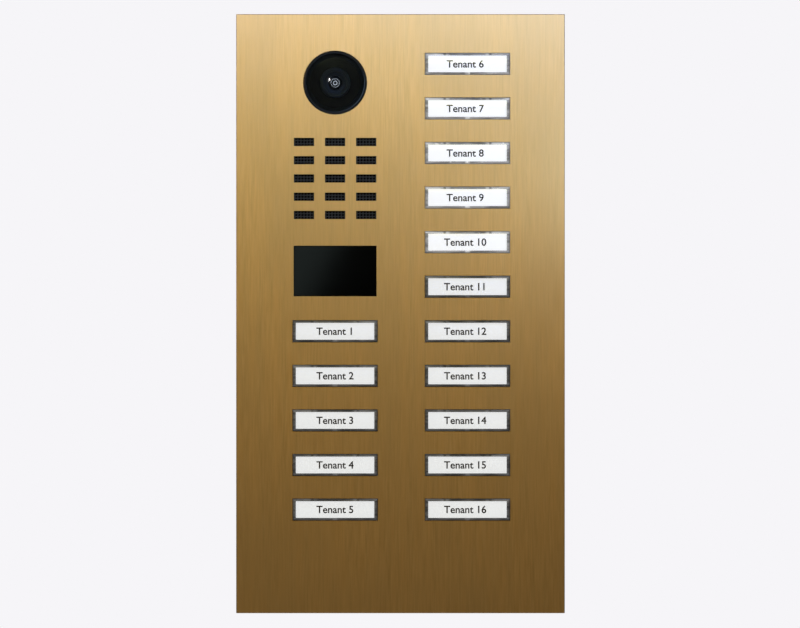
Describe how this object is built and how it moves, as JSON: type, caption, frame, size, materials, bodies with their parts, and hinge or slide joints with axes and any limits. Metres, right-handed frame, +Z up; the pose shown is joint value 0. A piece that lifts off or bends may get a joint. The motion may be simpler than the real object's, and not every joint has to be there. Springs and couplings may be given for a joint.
{
  "type": "door intercom panel",
  "caption": "Flush-mounted door intercom: brushed brass plate with a camera, speaker slots, a sensor window and name-plate call buttons that press in, on a box sunk in the wall.",
  "frame": {"origin": "centre of the opening in the wall, in the plane of the wall's surface, which is the back face of the panel's gasket", "axes": "+Z up along the panel's long side, +Y into the wall, +X to the right for someone who faces the panel, and the front faces -Y"},
  "size_m": [0.207, 0.0623, 0.3774],
  "materials": {
    "brushed_brass": "vertically brushed",
    "black_gloss_plastic": "polished",
    "black_matt_plastic": "fine matt",
    "grey_moulded_plastic": "moulded, light texture",
    "clear_acrylic": "clear, polished bevel",
    "smoked_acrylic": "smoked, polished",
    "coated_lens_glass": "anti-reflection coated",
    "white_diffuser": "satin",
    "translucent_silicone": "matt",
    "black_rubber": "matt",
    "circuit_board": "solder mask",
    "terminal_green": "moulded",
    "steel": "plain",
    "speaker_cone_paper": "matt fibre"
  },
  "bodies": {
    "housing": {"front_panel": "brushed_brass", "panel_gasket": "black_rubber", "mounting_frame": "grey_moulded_plastic", "back_box": "grey_moulded_plastic", "cable_grommet": "black_rubber", "lock_screw_left": "steel", "lock_screw_right": "steel", "camera_trim_ring": "black_gloss_plastic", "camera_dome": "smoked_acrylic", "infrared_filter": "black_gloss_plastic", "infrared_board": "circuit_board", "lens_barrel": "black_matt_plastic", "lens_glass": "coated_lens_glass", "camera_housing": "black_matt_plastic", "camera_board": "circuit_board", "speaker_mesh": "black_matt_plastic", "speaker_basket": "steel", "speaker_cone": "speaker_cone_paper", "microphone": "steel", "sensor_window": "black_gloss_plastic", "sensor_board": "circuit_board", "main_board": "circuit_board", "network_terminal_block": "terminal_green", "relay_terminal_block": "terminal_green", "button_mat_left": "translucent_silicone", "button_mat_right": "translucent_silicone", "button_board_left": "circuit_board", "button_board_right": "circuit_board"},
    "call_button_01": {"button_cap_01": "clear_acrylic", "button_carrier_01": "white_diffuser"},
    "call_button_02": {"button_cap_02": "clear_acrylic", "button_carrier_02": "white_diffuser"},
    "call_button_03": {"button_cap_03": "clear_acrylic", "button_carrier_03": "white_diffuser"},
    "call_button_04": {"button_cap_04": "clear_acrylic", "button_carrier_04": "white_diffuser"},
    "call_button_05": {"button_cap_05": "clear_acrylic", "button_carrier_05": "white_diffuser"},
    "call_button_06": {"button_cap_06": "clear_acrylic", "button_carrier_06": "white_diffuser"},
    "call_button_07": {"button_cap_07": "clear_acrylic", "button_carrier_07": "white_diffuser"},
    "call_button_08": {"button_cap_08": "clear_acrylic", "button_carrier_08": "white_diffuser"},
    "call_button_09": {"button_cap_09": "clear_acrylic", "button_carrier_09": "white_diffuser"},
    "call_button_10": {"button_cap_10": "clear_acrylic", "button_carrier_10": "white_diffuser"},
    "call_button_11": {"button_cap_11": "clear_acrylic", "button_carrier_11": "white_diffuser"},
    "call_button_12": {"button_cap_12": "clear_acrylic", "button_carrier_12": "white_diffuser"},
    "call_button_13": {"button_cap_13": "clear_acrylic", "button_carrier_13": "white_diffuser"},
    "call_button_14": {"button_cap_14": "clear_acrylic", "button_carrier_14": "white_diffuser"},
    "call_button_15": {"button_cap_15": "clear_acrylic", "button_carrier_15": "white_diffuser"},
    "call_button_16": {"button_cap_16": "clear_acrylic", "button_carrier_16": "white_diffuser"}
  },
  "joints": [
    {"name": "call_button_01_press", "type": "slide", "parent": "housing", "child": "call_button_01", "axis": [0, 1, 0], "range_m": [0, 0.001], "stiffness_N_per_m": 800, "springref_m": -0.0012, "deforming": ["button_mat_left"]},
    {"name": "call_button_02_press", "type": "slide", "parent": "housing", "child": "call_button_02", "axis": [0, 1, 0], "range_m": [0, 0.001], "stiffness_N_per_m": 800, "springref_m": -0.0012, "deforming": ["button_mat_left"]},
    {"name": "call_button_03_press", "type": "slide", "parent": "housing", "child": "call_button_03", "axis": [0, 1, 0], "range_m": [0, 0.001], "stiffness_N_per_m": 800, "springref_m": -0.0012, "deforming": ["button_mat_left"]},
    {"name": "call_button_04_press", "type": "slide", "parent": "housing", "child": "call_button_04", "axis": [0, 1, 0], "range_m": [0, 0.001], "stiffness_N_per_m": 800, "springref_m": -0.0012, "deforming": ["button_mat_left"]},
    {"name": "call_button_05_press", "type": "slide", "parent": "housing", "child": "call_button_05", "axis": [0, 1, 0], "range_m": [0, 0.001], "stiffness_N_per_m": 800, "springref_m": -0.0012, "deforming": ["button_mat_left"]},
    {"name": "call_button_06_press", "type": "slide", "parent": "housing", "child": "call_button_06", "axis": [0, 1, 0], "range_m": [0, 0.001], "stiffness_N_per_m": 800, "springref_m": -0.0012, "deforming": ["button_mat_right"]},
    {"name": "call_button_07_press", "type": "slide", "parent": "housing", "child": "call_button_07", "axis": [0, 1, 0], "range_m": [0, 0.001], "stiffness_N_per_m": 800, "springref_m": -0.0012, "deforming": ["button_mat_right"]},
    {"name": "call_button_08_press", "type": "slide", "parent": "housing", "child": "call_button_08", "axis": [0, 1, 0], "range_m": [0, 0.001], "stiffness_N_per_m": 800, "springref_m": -0.0012, "deforming": ["button_mat_right"]},
    {"name": "call_button_09_press", "type": "slide", "parent": "housing", "child": "call_button_09", "axis": [0, 1, 0], "range_m": [0, 0.001], "stiffness_N_per_m": 800, "springref_m": -0.0012, "deforming": ["button_mat_right"]},
    {"name": "call_button_10_press", "type": "slide", "parent": "housing", "child": "call_button_10", "axis": [0, 1, 0], "range_m": [0, 0.001], "stiffness_N_per_m": 800, "springref_m": -0.0012, "deforming": ["button_mat_right"]},
    {"name": "call_button_11_press", "type": "slide", "parent": "housing", "child": "call_button_11", "axis": [0, 1, 0], "range_m": [0, 0.001], "stiffness_N_per_m": 800, "springref_m": -0.0012, "deforming": ["button_mat_right"]},
    {"name": "call_button_12_press", "type": "slide", "parent": "housing", "child": "call_button_12", "axis": [0, 1, 0], "range_m": [0, 0.001], "stiffness_N_per_m": 800, "springref_m": -0.0012, "deforming": ["button_mat_right"]},
    {"name": "call_button_13_press", "type": "slide", "parent": "housing", "child": "call_button_13", "axis": [0, 1, 0], "range_m": [0, 0.001], "stiffness_N_per_m": 800, "springref_m": -0.0012, "deforming": ["button_mat_right"]},
    {"name": "call_button_14_press", "type": "slide", "parent": "housing", "child": "call_button_14", "axis": [0, 1, 0], "range_m": [0, 0.001], "stiffness_N_per_m": 800, "springref_m": -0.0012, "deforming": ["button_mat_right"]},
    {"name": "call_button_15_press", "type": "slide", "parent": "housing", "child": "call_button_15", "axis": [0, 1, 0], "range_m": [0, 0.001], "stiffness_N_per_m": 800, "springref_m": -0.0012, "deforming": ["button_mat_right"]},
    {"name": "call_button_16_press", "type": "slide", "parent": "housing", "child": "call_button_16", "axis": [0, 1, 0], "range_m": [0, 0.001], "stiffness_N_per_m": 800, "springref_m": -0.0012, "deforming": ["button_mat_right"]}
  ]
}
